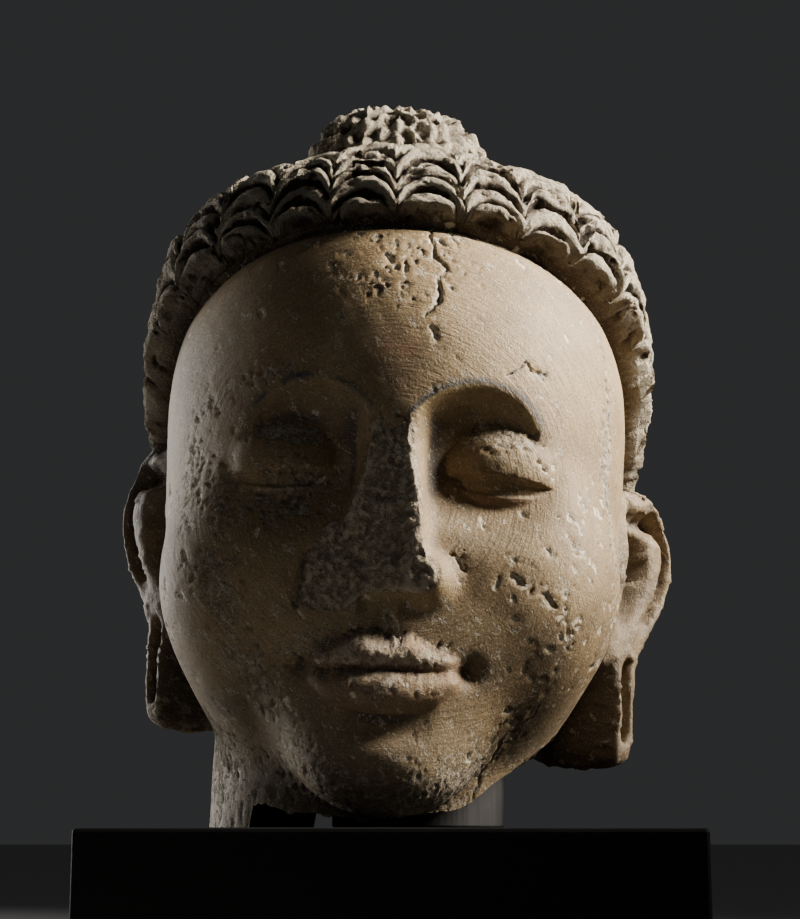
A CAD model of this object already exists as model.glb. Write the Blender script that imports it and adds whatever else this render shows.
"""Finishes a stucco buddha head on its display post and base.

The head is worked out again on fine grids from the same carving as its solid, in angulas
(twelfths of the height from chin to hairline), then given its wear: slip lost in patches, pits
left by straw, cracks, chipped locks and a rough break below the jaw.
"""

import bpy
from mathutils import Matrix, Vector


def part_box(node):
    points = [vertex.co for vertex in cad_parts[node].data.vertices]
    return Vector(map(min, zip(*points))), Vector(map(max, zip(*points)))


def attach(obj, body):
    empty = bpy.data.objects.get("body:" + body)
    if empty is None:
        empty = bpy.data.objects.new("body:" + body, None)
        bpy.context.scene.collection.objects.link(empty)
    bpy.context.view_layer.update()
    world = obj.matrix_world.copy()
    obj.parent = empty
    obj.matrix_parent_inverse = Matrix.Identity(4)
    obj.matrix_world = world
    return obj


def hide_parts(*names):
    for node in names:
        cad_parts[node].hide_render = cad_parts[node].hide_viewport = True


bl_info = {
    "name": "Stucco Buddha Head",
    "version": (1, 0, 0),
    "blender": (4, 5, 0),
    "location": "View3D > Sidebar > Stucco Head",
    "description": "Makes a worn stucco head, its post, its base and a plain stage",
    "category": "Mesh",
}

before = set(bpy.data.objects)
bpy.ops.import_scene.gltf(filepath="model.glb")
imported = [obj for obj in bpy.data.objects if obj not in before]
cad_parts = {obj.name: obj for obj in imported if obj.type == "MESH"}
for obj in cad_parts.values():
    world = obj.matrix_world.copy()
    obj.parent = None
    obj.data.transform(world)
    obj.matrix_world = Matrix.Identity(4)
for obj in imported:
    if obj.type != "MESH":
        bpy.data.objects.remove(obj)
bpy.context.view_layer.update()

from math import pi, radians

import bpy
import numpy as np
from mathutils import Matrix, Vector

BASE_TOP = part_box("mount_base")[1][2]
HEAD_LOW, HEAD_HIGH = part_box("head")
POST_LOW, POST_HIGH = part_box("mount_post")
POST_RADIUS = (POST_HIGH[0] - POST_LOW[0]) / 2
POST_CENTRE = (POST_HIGH[0] + POST_LOW[0]) / 2, (POST_HIGH[1] + POST_LOW[1]) / 2

# Carving, in angulas, as on the solid head
SKULL = (5.0, 5.25, 5.0)
SKULL_Z = 8.5
EYE = (2.08, -3.50, 6.95)
EYE_RADIUS = 1.17
LID_THICKNESS = 0.13
SOCKET = (2.2, -5.90, 7.0)
SOCKET_RADII = (2.1, 1.65, 1.62)
NOSE_TOP = (0.0, -4.62, 8.5)
NOSE_TIP = (0.0, -5.30, 5.0)
NOSE_BREAK = ((0.15, -5.40, 7.90), (-1.15, -5.02, 4.50), (0.90, -5.50, 4.50))
# Cheeks, chin and the rise round the mouth: middle, radii and the width of the blend
FACE_MASSES = (
    ((2.5, -2.75, 4.6), (2.05, 1.9, 2.1), 1.3),
    ((0, -3.55, 1.15), (1.6, 1.4, 1.15), 1.3),
    ((0, -3.6, 2.95), (2.1, 1.3, 1.7), 1.0),
)

MOUTH_Z = 2.72
MOUTH_HALF = 1.58
URNA_Z = 9.05
NECK_RADIUS = 3.70
CROWN_TILT = radians(16)
HAIR_CENTRE = np.array((-0.18, 0.2, 7.93))
HAIR_CAP = radians(17)
HAIR_EDGE = 0.12
HAIR_SIDE_EDGE = 0.46
HAIR_STEEP = radians(26)
HAIR_FULLER = 0.42
LOCK_WIDTH = 1.36
LOCK_LENGTH = 0.80
FRONT_LOCK_LENGTH = 0.42
FRONT_LOCKS = 4
LOCK_ARCH = 0.54
LOCK_DEPTH = 0.34
SIDE_LOCK_DEPTH = 0.26
TOPKNOT_CENTRE = np.array((-0.28, 1.05, 14.05))
TOPKNOT_RADII = (2.16, 2.15, 2.34)
LEFT_EAR = (8.2, 6.45, -0.22)
RIGHT_EAR = (7.6, 6.30, -0.04)
RAY_CENTRE = np.array((0.0, 0.4, 6.6))
RAY_START = 9.5
CUTTER_REACH = 7
CUTTER_DEPTH = 6

# The break below the jaw, in metres: its rise above the base's top at places across, how deep
# its lumps are, and the shard of the neck's wall with the rough mass behind it
BREAK_ACROSS = (-0.070, -0.050, -0.030, 0.000, 0.033, 0.062, 0.090)
BREAK_RISE = (0.000, 0.004, 0.004, 0.0025, 0.010, 0.027, 0.034)
LUMP_SIZE = 0.011
LUMP_RISE = 0.0016
RAGGED_RISE = 0.0022
POCK_DEPTH = 0.0012
INNER_RISE = 0.006
SHARD_DROP = 0.030
SHARD_EDGE = -0.0500
INNER_EDGE = -0.0330
INNER_BACK = 0.012

# Room left above the base and about the post, the socket's reach below it, and the radius of
# the post's edges, in metres
TOUCH_GAP = 0.0003
SOCKET_GAP = 0.0006
SOCKET_DROP = 0.02
POST_EDGE = 0.0008

# Depths of the skin's wear, and of the coarse and the fine wear of the rough parts, in metres
UNEVENNESS = 0.0011
GRAIN_DEPTH = 0.00014
FLAKE_DEPTH = 0.00028
SWELL_DEPTH = 0.0016
CLOD_DEPTH = 0.0014
CRUMB_DEPTH = 0.0005
BREAK_SINK = 0.0003
GROOVE_DEPTH = 0.0016
HAIR_WEAR = (0.0011, 0.0009)
TOPKNOT_WEAR = (0.0009, 0.0007)
EAR_WEAR = (0.0004, 0.0004)

# Depth below or height above the smoothed surface, in metres, at which a mark is full
HOLLOW_DEPTH = 0.0022
CREST_HEIGHT = 0.0014
NICK_DEPTH = 0.00022

# Grid lines at full detail, around or across first, and the share of the triangles kept
SKIN_LINES = (560, 430)
TOPKNOT_LINES = (350, 170)
EAR_LINES = (96, 190)
LOCK_LINES = (20, 12)
BREAK_LINES = 150
SOCKET_SIDES = 96
POST_SIDES = 160
SKIN_SHARE = 0.235
ROUGH_SHARE = 0.30

# Lights: place, aim, width, share of the key light's power, colour and spread in degrees
LIGHTS = {
    "key_light": ((0.585, -0.045, 0.550), (0.015, 0, 0.270), 0.26, 1.0, (1.0, 0.925, 0.81), 42),
    "fill_light": ((-0.9, -0.9, 0.45), (0, 0, 0.20), 1.0, 0.060, (0.94, 0.97, 1.0), 90),
    "rim_light": ((-0.74, 0.60, 0.30), (0, 0, 0.20), 0.5, 0.42, (1.0, 0.98, 0.94), 60),
}
WORLD_COLOUR = (0.52, 0.53, 0.55)
WORLD_STRENGTH = 0.055
FLOOR_HALF = 6.0
FLOOR_Z = -0.0002


def length_setting(name, description, default, **limits):
    """A length that a user can change, in metres."""
    return bpy.props.FloatProperty(name=name, description=description, default=default,
                                   unit="LENGTH", **limits)


def colour_setting(name, description, default):
    """A colour that a user can change."""
    return bpy.props.FloatVectorProperty(name=name, description=description, default=default,
                                         subtype="COLOR", min=0, max=1)


class HeadSizes(bpy.types.PropertyGroup):
    """Sizes of the head, its lean and its wear."""

    face_height: length_setting("Face height", "From the chin to the hairline", 0.2028,
                                min=0.05, max=0.5)
    chin_rise: length_setting("Chin rise", "Height of the chin above the base", 0.003)
    place: bpy.props.FloatVectorProperty(
        name="Place", description="Where the middle of the head stands on the base",
        size=2, default=(-0.0048, 0.0015), unit="LENGTH")
    roll: bpy.props.FloatProperty(
        name="Roll", description="Lean to the viewer's right", default=radians(2.5), unit="ROTATION")
    pitch: bpy.props.FloatProperty(
        name="Pitch", description="Lean backwards", default=radians(1.0), unit="ROTATION")
    detail: bpy.props.FloatProperty(
        name="Detail", description="Share of the full number of grid lines",
        default=1.0, min=0.2, max=1.2, subtype="FACTOR")
    slip: length_setting("Slip", "Thickness of the coloured slip that is lost in patches", 0.00035,
                         min=0.0, max=0.002)
    pit_depth: length_setting("Pit depth", "Depth of the pits left by straw", 0.0010,
                              min=0.0, max=0.004)
    pit_count: bpy.props.IntProperty(
        name="Pits", description="Number of pits on the face", default=150, min=0, max=600)
    crack_depth: length_setting("Crack depth", "Depth of the cracks", 0.0011)

    @property
    def angula(self):
        """The carver's unit, a twelfth of the face's height."""
        return self.face_height / 12

    def lines(self, *counts, least=12):
        """Numbers of grid lines at the chosen detail."""
        return [max(least, int(count * self.detail)) for count in counts]


class HeadColours(bpy.types.PropertyGroup):
    """Colours of the slip, the plaster below it, the dirt and the traces of paint."""

    buff: colour_setting("Buff slip", "Slip where it has kept its colour", (0.245, 0.163, 0.077))
    cream: colour_setting("Cream slip", "Slip where it is rubbed thin", (0.345, 0.248, 0.127))
    plaster: colour_setting("Plaster", "Bare plaster where the slip is lost", (0.36, 0.31, 0.235))
    dirt: colour_setting("Dirt", "Soil left in the hollows", (0.075, 0.055, 0.040))
    brow: colour_setting("Brow line", "What is left of the painted brow line", (0.045, 0.05, 0.06))
    red: colour_setting("Red paint", "Traces of red paint", (0.36, 0.13, 0.085))


class MountColours(bpy.types.PropertyGroup):
    """Colours of the post and the base."""

    post: colour_setting("Post", "Satin paint of the post", (0.030, 0.029, 0.030))
    base: colour_setting("Base", "Matt black of the base", (0.0026, 0.0026, 0.0026))


class StageSettings(bpy.types.PropertyGroup):
    """The camera's place, the floor and the lights."""

    camera: bpy.props.FloatVectorProperty(
        name="Camera", description="The camera's place beside and in front of the base's middle",
        size=2, default=(0.0028, -0.71), unit="LENGTH")
    tilt: bpy.props.FloatProperty(
        name="Tilt", description="How far the camera looks up", default=radians(10.9), unit="ROTATION")
    lens: bpy.props.FloatProperty(
        name="Lens", description="Focal length in millimetres", default=75.0, min=20, max=200)
    floor: colour_setting("Floor", "Colour of the floor", (0.42, 0.415, 0.41))
    key_power: bpy.props.FloatProperty(
        name="Key light", description="Power of the key light in watts", default=2.75, min=0)


# Distance fields: how far points lie outside a form

def ellipsoid(points, centre, radii):
    """Scaled length of the offset from the centre, less one, made a distance by its slope."""
    offset = (points - np.array(centre)) / np.array(radii)
    length = np.linalg.norm(offset, axis=-1)
    slope = np.linalg.norm(offset / np.array(radii), axis=-1) + 1e-9
    return length * (length - 1.0) / slope


def round_cone(points, start, end, start_radius, end_radius):
    """Distance from a segment, less a radius that changes evenly along it."""
    start = np.array(start)
    along = np.array(end) - start
    share = np.clip(((points - start) @ along) / (along @ along), 0, 1)
    gap = np.linalg.norm(points - start - share[..., None] * along, axis=-1)
    return gap - (start_radius + (end_radius - start_radius) * share)


def blend(a, b, width):
    """The nearer of two distances, with a fillet of the given width where they meet."""
    share = np.clip(0.5 + 0.5 * (b - a) / width, 0, 1)
    return b + (a - b) * share - width * share * (1 - share)


def carve(body, cutter, width):
    """The body less the cutter, with a softened edge."""
    return -blend(-body, cutter, width)


def step(x, low, high):
    """Zero below low, one above high, an S curve between."""
    share = np.clip((x - low) / (high - low), 0, 1)
    return share * share * (3 - 2 * share)


def fall(x, low, high):
    """One below low, zero above high, an S curve between."""
    return 1 - step(x, low, high)


def bell(x, width):
    """One at zero, falling to either side, to 0.37 at the width."""
    return np.exp(-(x / width) ** 2)


def curve(knots, values, x):
    """A smooth curve through the values at the knots: cubic pieces with shared slopes, flat at
    both ends."""
    knots = np.array(knots, float)
    values = np.array(values, float)
    slopes = np.gradient(values, knots)
    slopes[[0, -1]] = 0
    i = np.clip(np.searchsorted(knots, x) - 1, 0, len(knots) - 2)
    width = knots[i + 1] - knots[i]
    t = np.clip((x - knots[i]) / width, 0, 1)
    return ((2 * t**3 - 3 * t**2 + 1) * values[i] + (t**3 - 2 * t**2 + t) * width * slopes[i]
            + (3 * t**2 - 2 * t**3) * values[i + 1] + (t**3 - t**2) * width * slopes[i + 1])


def skull(points):
    """Cranium, forehead and jaw as three blended ellipsoids, without features."""
    form = ellipsoid(points, (0, 0, SKULL_Z), SKULL)
    form = blend(form, ellipsoid(points, (0, -1.2, 9.3), (4.5, 4.15, 4.0)), 1.0)
    return blend(form, ellipsoid(points, (0, -0.75, 5.4), (4.85, 4.3, 5.4)), 1.2)


def lid_edges(points):
    """Offset from the eye's middle, how far across it, and how far above each lid's edge."""
    offset = points - np.array(EYE)
    across = offset[..., 0] / 1.22
    up = offset[..., 2] + 0.06 * offset[..., 0]
    arch = np.clip(1 - across * across, 0, None)
    return offset, across, up - (0.05 * arch - 0.30), up - (-0.22 * arch - 0.37)


def eyes(points):
    """A ball whose radius steps up where the two heavy lids lie on it."""
    offset, across, above_upper, above_lower = lid_edges(points)
    lids = step(above_upper, -0.05, 0.05) + 0.65 * step(-above_lower, -0.05, 0.05)
    corner = step(np.abs(across), 0.80, 1.15)
    radius = EYE_RADIUS + LID_THICKNESS * (lids * (1 - corner) + 0.7 * corner)
    return np.linalg.norm(offset * np.array((0.90, 1.0, 1.02)), axis=-1) - radius


def lips(points):
    """Two rolls along the line of the mouth, tapering to its corners."""
    x, y, z = points[..., 0], points[..., 1], points[..., 2]
    line = MOUTH_Z + 0.07 * step(x, 1.0, MOUTH_HALF)
    front = 0.22 * x * x - 4.98
    taper = np.sqrt(np.clip(1 - (x / MOUTH_HALF) ** 2, 0, 1))
    bow = 1 + 0.16 * bell(x - 0.48, 0.30) - 0.14 * bell(x, 0.22)
    upper, lower = 0.33 * taper * bow + 0.02, 0.42 * taper + 0.02
    upper_roll = np.hypot((z - line) / upper - 0.85, (y - front) / 0.42) - 1
    lower_roll = np.hypot((z - line) / lower + 0.85, (y - front) / 0.46) - 1
    rolls = blend(upper_roll * np.minimum(upper, 0.36), lower_roll * np.minimum(lower, 0.40), 0.06)
    return rolls + 0.3 * step(x, MOUTH_HALF - 0.08, MOUTH_HALF + 0.15)


def head_form(points):
    """The whole bald head, from points with x mirrored to the positive side. The skull has the
    cheeks, the chin and the rise round the mouth blended on, then the neck. The eyes' sockets
    are cut in. The nose, its wings and nostrils, the eyes, the groove under the nose, the hollow
    under the mouth, the lips and their corners follow."""
    x, y, z = points[..., 0], points[..., 1], points[..., 2]
    form = skull(points)
    for centre, radii, width in FACE_MASSES:
        form = blend(form, ellipsoid(points, centre, radii), width)
    neck = (np.hypot(x, (y - 0.5) * 1.1) - NECK_RADIUS) * 0.95
    form = blend(form, np.maximum(neck, z - 5.5), 0.4)
    socket_edge = 0.10 + 0.6 * step(-z, -7.6, -6.6)
    form = carve(form, ellipsoid(points, SOCKET, SOCKET_RADII), socket_edge)
    form = carve(form, ellipsoid(points, (1.0, -5.6, 6.9), (0.62, 0.95, 1.1)), 0.35)
    form = blend(form, round_cone(points, NOSE_TOP, NOSE_TIP, 0.46, 0.72), 0.38)
    form = blend(form, ellipsoid(points, (0.80, -4.90, 4.55), (0.48, 0.62, 0.48)), 0.35)
    form = carve(form, ellipsoid(points, (0.40, -5.35, 3.96), (0.20, 0.34, 0.22)), 0.12)
    form = blend(form, eyes(points), 0.08)
    form = carve(form, round_cone(points, (0, -5.30, 3.95), (0, -5.30, 3.3), 0.14, 0.18), 0.25)
    form = carve(form, ellipsoid(points, (0, -5.3, 1.72), (0.95, 0.45, 0.3)), 0.5)
    form = blend(form, lips(points), 0.09)
    return carve(form, ellipsoid(points, (1.68, -4.80, 2.78), (0.15, 0.30, 0.12)), 0.38)


def mirrored(points):
    """The points with their x made positive, since the carving is alike on both sides."""
    return np.concatenate([np.abs(points[..., :1]), points[..., 1:]], -1)


def cast(form, directions, centre, rounds=20, halvings=9):
    """How far out from the centre each direction leaves the form: the ray is walked inwards by
    the distance field, then the last stretch is halved until it is found."""
    def distance(reach):
        return form(mirrored(centre + reach[..., None] * directions))

    reach = np.full(directions.shape[:-1], RAY_START)
    for _ in range(rounds):
        reach = np.clip(reach - 0.75 * distance(reach), 0.5, RAY_START)
    near, far = reach - 0.22, reach + 0.22
    for _ in range(halvings):
        middle = 0.5 * (near + far)
        inside = distance(middle) < 0
        near = np.where(inside, middle, near)
        far = np.where(inside, far, middle)
    return 0.5 * (near + far)


# Noise, from points and a size in the same unit

# Turns the lattice away from the axes, about a slanting line
SLANT = np.array(Matrix.Rotation(radians(37), 3, Vector((1.0, 0.7, 0.4)).normalized()))


def lattice(cell, seed):
    """A fixed number from 0 to 1 for each whole-number cell, by mixing its coordinates' bits."""
    mixed = (cell * np.array((73856093, 19349663, 83492791))).sum(axis=-1) + seed * 2654435761
    mixed = ((mixed ^ (mixed >> 13)) * 1274126177) & 0xFFFFFFFF
    return ((mixed ^ (mixed >> 16)) & 0xFFFF) / 65535.0


def noise(points, size, seed):
    """Values at the corners of a slanting lattice of the given size, eased between: -1 to 1."""
    scaled = points @ SLANT / size
    cell = np.floor(scaled).astype(np.int64)
    part = scaled - cell
    part = part * part * (3 - 2 * part)
    total = np.zeros(points.shape[:-1])
    for corner in np.ndindex(2, 2, 2):
        share = np.prod(np.where(np.array(corner) == 1, part, 1 - part), axis=-1)
        total += share * lattice(cell + np.array(corner), seed)
    return 2 * total - 1


def layers(points, size, seed, count=4):
    """Noise at a size, half that size at half the strength, and so on."""
    total = 0
    for k in range(count):
        total = total + 0.5**k * noise(points, size * 0.5**k, seed + k)
        points = points @ SLANT
    return total / sum(0.5**k for k in range(count))


def speckle(points, size, seed):
    """Distance to the nearest of one scattered point in each cell, as a share of the size."""
    scaled = points / size
    cell = np.floor(scaled).astype(np.int64)
    nearest = np.full(points.shape[:-1], 4.0)
    for corner in np.ndindex(3, 3, 3):
        near = cell + np.array(corner) - 1
        spot = near + np.stack([lattice(near, seed + k) for k in range(3)], -1)
        nearest = np.minimum(nearest, ((scaled - spot) ** 2).sum(axis=-1))
    return np.sqrt(nearest)


# Surfaces, as grids of points: rings from the bottom to the top, each ring all the way round

def front_weighted(count, even_share):
    """Angles all the way round, closer together in front."""
    turn = np.linspace(-1, 1, count, endpoint=False)
    return pi * (even_share * turn + (1 - even_share) * turn**3)


def face_points(turn, rise):
    """Unit rays from the head's middle at a turn and a rise, and where each leaves the head."""
    rays = np.stack([np.sin(turn) * np.cos(rise), -np.cos(turn) * np.cos(rise), np.sin(rise)], -1)
    return rays, RAY_CENTRE + cast(head_form, rays, RAY_CENTRE)[..., None] * rays


def skin_surface(around, rings):
    """The bald head: longitude by latitude about a centre inside it, each ray cast outwards, and
    drawn back to the nose's break where it stands out in front of that."""
    turn = front_weighted(around, 0.46)
    rise = np.linspace(-1, 1, rings)
    rise = pi / 2 * (0.66 * rise + 0.34 * rise**3)
    turn, rise = np.meshgrid(turn, rise)
    rays, points = face_points(turn, rise)
    proud = np.maximum(beyond_break(points), 0) * nose_window(points)
    across = rays @ break_normal()
    return points - (proud / np.maximum(across, 0.2))[..., None] * rays


def break_normal():
    """Unit normal of the plane along which the front of the nose is broken off."""
    top, left, right = np.array(NOSE_BREAK)
    normal = np.cross(left - top, right - top)
    return normal / np.linalg.norm(normal)


def beyond_break(points):
    """How far points stand out in front of the nose's break."""
    return (points - np.array(NOSE_BREAK[0])) @ break_normal()


def nose_window(points):
    """One over the nose, which widens downwards, and zero above, below and beside it."""
    x, z = points[..., 0], points[..., 2]
    half = 0.24 + 0.36 * (8.6 - z) + 0.16 * noise(points, 0.5, 43)
    level = step(z, 3.7, 4.1) * fall(z, 7.3, 8.1)
    return level * fall(np.abs(x), half - 0.05, half + 0.12) * step(-points[..., 1], 3.5, 4.0)


def hairline(turn):
    """Angle of the hairline from the crown's axis, at a turn from the front."""
    knots = np.radians((0, 20, 45, 70, 90, 105, 135, 180))
    angles = np.radians((64, 64, 66, 72, 83, 93, 111, 121))
    return curve(knots, angles, np.abs(turn))


def crown_rays(turn, angle):
    """Unit vectors at an angle from the crown's axis, which leans back."""
    side = np.sin(angle) * np.sin(turn)
    front = -np.sin(angle) * np.cos(turn)
    up = np.cos(angle)
    c, s = np.cos(CROWN_TILT), np.sin(CROWN_TILT)
    return np.stack([side, front * c + up * s, up * c - front * s], -1)


def hairline_lengths():
    """Turns from the front to the back, and the length along the hairline to each."""
    turns = np.linspace(0, pi, 200)
    rays = crown_rays(turns, hairline(turns))
    points = cast(skull, rays, HAIR_CENTRE)[..., None] * rays
    steps = np.linalg.norm(np.diff(points, axis=0), axis=1)
    return turns, np.concatenate([[0], np.cumsum(steps)])


def lock_columns(points_across):
    """Turns of the grid lines of the hair, a whole number of columns each side of the middle,
    and where each line lies across its column, from -1 to 1."""
    turns, lengths = hairline_lengths()
    columns = round(lengths[-1] / LOCK_WIDTH)
    line = np.arange(2 * columns * points_across) / points_across - columns
    turn = np.sign(line) * np.interp(np.abs(line) * lengths[-1] / columns, lengths, turns)
    return turn, 2 * (line - np.floor(line)) - 1, np.floor(line)


def hair_profile(length, front):
    """Distance back along the skull, height above it and slope, at a length along the hair's
    outer profile: it rises steeply from the hairline in front and runs level further back."""
    steps = np.linspace(0, 24, 1200)[:, None]
    slope = HAIR_STEEP * front * fall(steps, 0.9, 2.0)
    gap = steps[1, 0]
    back = np.cumsum(np.cos(slope), axis=0) * gap
    rise = np.cumsum(np.sin(slope), axis=0) * gap
    place = np.clip(length / gap, 0, len(steps) - 1.001)
    low = place.astype(int)
    column = np.arange(length.shape[1])
    share = place - low
    return [table[low, column] * (1 - share) + table[low + 1, column] * share
            for table in (back, rise, slope + 0 * steps)]


def hair_groove(turn, angle):
    """The groove in the skin right below the hairline, a share of its depth."""
    below = angle - hairline(turn)
    return step(below, -0.05, -0.01) * fall(below, 0.025, 0.050)


def hair_fullness(turn, angle):
    """How much further out the hair stands over the temples."""
    beside = step(np.abs(np.sin(turn)), 0.35, 0.95)
    above = step(angle, radians(10), radians(45)) * fall(angle, radians(52), radians(86))
    return HAIR_FULLER * beside * above


def hair_surface(points_across, rows_in_lock):
    """The cap of hair: the skull's own form plus the locks, from the hairline up to the topknot,
    closed by turning in under the skin. Columns of locks stand side by side, each a row of
    nested arches: fat ropes with a hollow under the middle of each. A row of the grid lies at
    each share of an arch's length, bends down towards the sides of its column and stops at the
    hairline."""
    turn, across, column = lock_columns(points_across)
    front = step(np.cos(turn), -0.1, 0.75)
    rows = int(np.ceil(np.max(hairline(turn)) * np.mean(SKULL) / LOCK_LENGTH)) + FRONT_LOCKS
    shares = np.linspace(0, 1, rows_in_lock, endpoint=False)
    count = (np.arange(rows)[:, None] + shares).ravel()[:, None]
    phase = count - np.floor(count) + 0 * turn
    shorter = front * (LOCK_LENGTH - FRONT_LOCK_LENGTH)
    length = count * LOCK_LENGTH - shorter * np.minimum(count, FRONT_LOCKS)
    uneven = 0.06 * np.sin(2.4 * column) * (1 - across**2) + 0.05 * np.sin(1.9 * count + 1.7 * column)
    length = length + uneven - LOCK_ARCH * (0.45 * across**2 + 0.55 * across**4 + 0.08 * across)
    length = np.maximum(length, 0.004 * count)
    back, rise, slope = hair_profile(length, front)
    band = (1 - across**2) ** 0.5
    rope = np.sqrt(1 - (2 * phase - 1) ** 2)
    deep = 0.22 + 0.45 * fall(count, 1.0, 1.6)
    wander = 1 + 0.25 * np.sin(1.7 * column + 2.3 * np.floor(count))
    depth = SIDE_LOCK_DEPTH + (LOCK_DEPTH - SIDE_LOCK_DEPTH) * front
    relief = depth * (0.55 + 0.20 * band + 0.45 * rope * wander - deep * (1 - rope) * band**2)
    edge = hairline(turn)
    near_cap = step(edge - back / np.mean(SKULL), HAIR_CAP, HAIR_CAP + 0.08)
    relief = relief * near_cap * step(length, -0.02, 0.16)
    back = back - relief * np.sin(slope)
    angle = edge - back / np.mean(SKULL)
    angle = np.maximum(angle, HAIR_CAP - 0.0008 * count)
    rays = crown_rays(turn + 0 * angle, angle)
    reach = cast(skull, rays, HAIR_CENTRE)
    lift = HAIR_SIDE_EDGE + (HAIR_EDGE - HAIR_SIDE_EDGE) * front + hair_fullness(turn, angle)
    outer = HAIR_CENTRE + (reach + lift + rise + relief * np.cos(slope))[..., None] * rays
    edge_rays = crown_rays(turn, edge)
    edge_reach = cast(skull, edge_rays, HAIR_CENTRE)
    depths = (-3.0, -1.0, -0.4, -0.1, 0.0, 0.08)
    inner = [HAIR_CENTRE + (edge_reach + depth)[..., None] * edge_rays for depth in depths]
    return np.concatenate([np.stack(inner), outer])


def topknot_surface(around, rings):
    """A rounded block of gathered strands: a super-ellipsoid with upright ribs and small knobs."""
    turn, angle = np.meshgrid(np.linspace(-pi, pi, around, endpoint=False), np.linspace(pi, 0, rings))
    plain = np.stack([np.sin(angle) * np.sin(turn), np.sin(angle) * np.cos(turn), np.cos(angle)], -1)
    power = 2.9
    reach = np.sum(np.abs(plain / np.array(TOPKNOT_RADII)) ** power, axis=-1) ** (-1 / power)
    sway = 0.5 * np.sin(3 * angle + 2.1 * np.sin(2 * turn))
    ribs = 0.050 * np.cos(38 * turn + 1.6 * sway) + 0.040 * np.cos(15 * turn - 2 * sway)
    knobs = 0.045 * np.cos(25 * angle + 3.0 * np.cos(9 * turn) + 1.7 * np.cos(4 * turn))
    strands = 0.09 * layers(plain * (2.2, 2.2, 0.6), 0.22, 21, 3)
    reach = reach + (ribs * np.sin(angle) + knobs + strands) * step(angle, 0.06, 0.4)
    return TOPKNOT_CENTRE + reach[..., None] * crown_rays(turn, angle)


def ear_plan(share, outward):
    """Half width, half thickness, middle and facing of the ear, at a share of its length down
    from the top."""
    knots = (0, .10, .22, .38, .52, .62, .74, .86, 1.0)
    width = curve(knots, (.72, 1.0, 1.16, 1.04, .80, .64, .68, .76, .68), share)
    thickness = curve(knots, (.34, .36, .36, .34, .32, .32, .32, .36, .40), share)
    centre_x = outward + curve(knots, (5.3, 5.45, 5.6, 5.5, 5.25, 5.07, 4.93, 4.80, 4.74), share)
    centre_y = curve(knots, (.8, .9, 1.0, .9, .6, .35, .15, 0, -.05), share)
    facing = np.radians(curve(knots, (38, 38, 38, 38, 40, 44, 52, 58, 60), share))
    return width, thickness, centre_x, centre_y, facing


def slit_line(share):
    """Where the lobe's slit runs across the ear, at a share of its length."""
    return 0.16 + 0.30 * step(share, 0.62, 0.86)


def ear_surface(top, length, outward, around, rings):
    """The long ear on the +X side: rings from the lobe up to the top, each a flattened oval set
    across the ear. In front it is hollowed beside the cheek and again under the curled rim, with
    a ridge left between them. The lobe is slit near its outer edge and bends back towards the
    jaw inside the slit."""
    share = (1 + np.cos(np.linspace(0, pi, rings))) / 2
    turn, share = np.meshgrid(np.linspace(0, 2 * pi, around, endpoint=False), share)
    width, thickness, centre_x, centre_y, facing = ear_plan(share, outward)
    round_end = np.sqrt(1 - np.clip(1 - np.minimum(share, 1 - share) / 0.06, 0, 1) ** 2)
    width, thickness = width * round_end, thickness * round_end
    across = np.sign(np.cos(turn)) * np.abs(np.cos(turn)) ** 0.8 * width
    across = across * (1 + 0.40 * (across < 0) * fall(share, 0.45, 0.62))
    out = np.sign(np.sin(turn)) * np.abs(np.sin(turn)) ** 0.8 * thickness
    front = step(np.sin(turn), 0, 0.35)
    behind = step(-np.sin(turn), 0, 0.6)
    bowl = np.exp(-(((across + 0.42) / 0.30) ** 2 + ((share - 0.29) / 0.17) ** 2) ** 1.6)
    rim_line = width - 0.36 - 0.5 * np.clip(share - 0.25, 0, 1)
    rim_groove = bell(across - rim_line, 0.15) * step(share, 0.05, 0.11) * fall(share, 0.38, 0.54)
    under_rim = np.exp(-(((across - 0.20) / 0.50) ** 2 + ((share - 0.115) / 0.040) ** 2) ** 1.5)
    slit = bell(across - slit_line(share), 0.11) * step(share, 0.60, 0.66) * fall(share, 0.87, 0.93)
    rim = bell(across - width + 0.12, 0.14) * fall(share, 0.40, 0.60)
    hollows = 1.05 * bowl + 0.52 * rim_groove + 0.45 * under_rim + 0.50 * slit
    out = out + front * (0.12 * rim - hollows) - behind * 0.85 * np.maximum(bowl, under_rim * 0.5)
    lobe = step(share, 0.60, 0.74)
    out = out - lobe * 1.8 * np.maximum(slit_line(share) - 0.24 - across, 0)
    x = centre_x + across * np.sin(facing) + out * np.cos(facing)
    y = centre_y + across * np.cos(facing) - out * np.sin(facing)
    return np.stack([x, y, top - length * share], -1)


def ear_cover(points, top, length, outward):
    """Whether points lie on the ear of the +X side, and their share of the lobe's soiled inner
    face."""
    share = (top - points[..., 2]) / length
    width, thickness, centre_x, centre_y, facing = ear_plan(np.clip(share, 0, 1), outward)
    x, y = points[..., 0] - centre_x, points[..., 1] - centre_y
    across = x * np.sin(facing) + y * np.cos(facing)
    out = x * np.cos(facing) - y * np.sin(facing)
    near = (across < width + 0.10) & (across > -1.4 * width - 0.1)
    near = near & (np.abs(out) < thickness + 0.15 + 0.9 * step(share, 0.6, 0.8))
    near = near & (share > -0.01) & (share < 1)
    return near, near * step(share, 0.60, 0.68) * step(slit_line(share) - 0.22 - across, 0, 0.12)


# Wear, from points in angulas

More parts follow.
